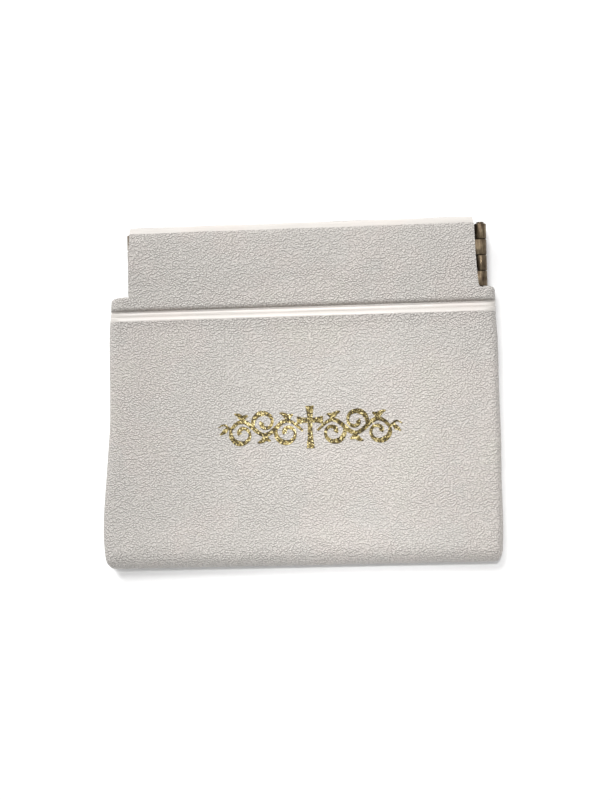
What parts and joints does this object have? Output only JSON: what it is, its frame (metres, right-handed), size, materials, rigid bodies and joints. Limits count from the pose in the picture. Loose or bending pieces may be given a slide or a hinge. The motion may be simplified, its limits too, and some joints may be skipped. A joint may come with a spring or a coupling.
{
  "type": "squeeze-top rosary pouch",
  "caption": "Flat vinyl rosary pouch that lies on its back. Its mouth is held shut by a hinged spring frame in two casings and opens when the ends are squeezed.",
  "frame": {"origin": "centre of the pouch's outline, on the flat surface that its back rests on", "axes": "+Z out of the front face, +Y from the bottom fold towards the mouth, +X to the right as the front is seen"},
  "size_m": [0.0888, 0.0762, 0.0073],
  "materials": {
    "vinyl": "off-white vinyl with a fine leather grain, satin",
    "pressed_vinyl": "the same vinyl, pressed smooth by the weld",
    "gold_foil": "stamped gold foil with a glitter",
    "spring_steel": "blued spring steel strip",
    "antique_brass": "dull antique brass, worn bright at the edges"
  },
  "bodies": {
    "back": {"back_panel": "vinyl", "bottom_fold": "vinyl"},
    "sides": {"left_side_seam": "vinyl", "right_side_seam": "vinyl"},
    "front": {"front_panel": "vinyl", "foil_ornament": "gold_foil", "front_weld_band": "pressed_vinyl"},
    "back_rim": {"back_weld_band": "pressed_vinyl"},
    "back_left": {"back_casing_left": "vinyl", "back_strip_left": "spring_steel", "left_back_leaf": "antique_brass", "left_back_rivets": "antique_brass", "left_hinge_pin": "antique_brass"},
    "back_right": {"back_casing_right": "vinyl", "back_strip_right": "spring_steel", "right_back_leaf": "antique_brass", "right_back_rivets": "antique_brass", "right_hinge_pin": "antique_brass"},
    "front_left": {"front_casing_left": "vinyl", "front_strip_left": "spring_steel", "left_front_leaf": "antique_brass", "left_front_rivets": "antique_brass"},
    "front_right": {"front_casing_right": "vinyl", "front_strip_right": "spring_steel", "right_front_leaf": "antique_brass", "right_front_rivets": "antique_brass"}
  },
  "joints": [
    {"name": "sides_lift", "type": "hinge", "parent": "back", "child": "sides", "pos_m": [0, -0.0381, 0.0036], "axis": [1, 0, 0], "range_deg": [0, 14.5]},
    {"name": "front_lift", "type": "hinge", "parent": "sides", "child": "front", "pos_m": [0, -0.0381, 0.0036], "axis": [1, 0, 0], "range_deg": [0, 14.5]},
    {"name": "rim_tilt", "type": "hinge", "parent": "back", "child": "back_rim", "pos_m": [0, 0.0199, 0.0036], "axis": [1, 0, 0], "range_deg": [0, 14.5]},
    {"name": "back_left_lift", "type": "hinge", "parent": "back_rim", "child": "back_left", "pos_m": [0.0013, 0.0199, 0.0036], "axis": [0, 1, 0], "range_deg": [0, 22]},
    {"name": "back_strip_bow", "type": "hinge", "parent": "back_left", "child": "back_right", "pos_m": [0.0013, 0.0199, 0.0036], "axis": [0, -1, 0], "range_deg": [0, 44]},
    {"name": "mouth_squeeze", "type": "hinge", "parent": "back_left", "child": "front_left", "pos_m": [-0.0374, 0.0199, 0.0036], "axis": [0, -1, 0], "range_deg": [0, 44], "stiffness_Nm_per_rad": 0.08, "springref_deg": -5.16},
    {"name": "front_strip_bow", "type": "hinge", "parent": "front_left", "child": "front_right", "pos_m": [0.0013, 0.0199, 0.0036], "axis": [0, 1, 0], "range_deg": [0, 44]}
  ],
  "couplings": [
    {"joint": "sides_lift", "follows": "mouth_squeeze", "ratio": 0.32897},
    {"joint": "front_lift", "follows": "mouth_squeeze", "ratio": 0.32897},
    {"joint": "rim_tilt", "follows": "mouth_squeeze", "ratio": 0.32897},
    {"joint": "back_left_lift", "follows": "mouth_squeeze", "ratio": 0.5},
    {"joint": "back_strip_bow", "follows": "mouth_squeeze", "ratio": 1},
    {"joint": "front_strip_bow", "follows": "mouth_squeeze", "ratio": 1}
  ]
}
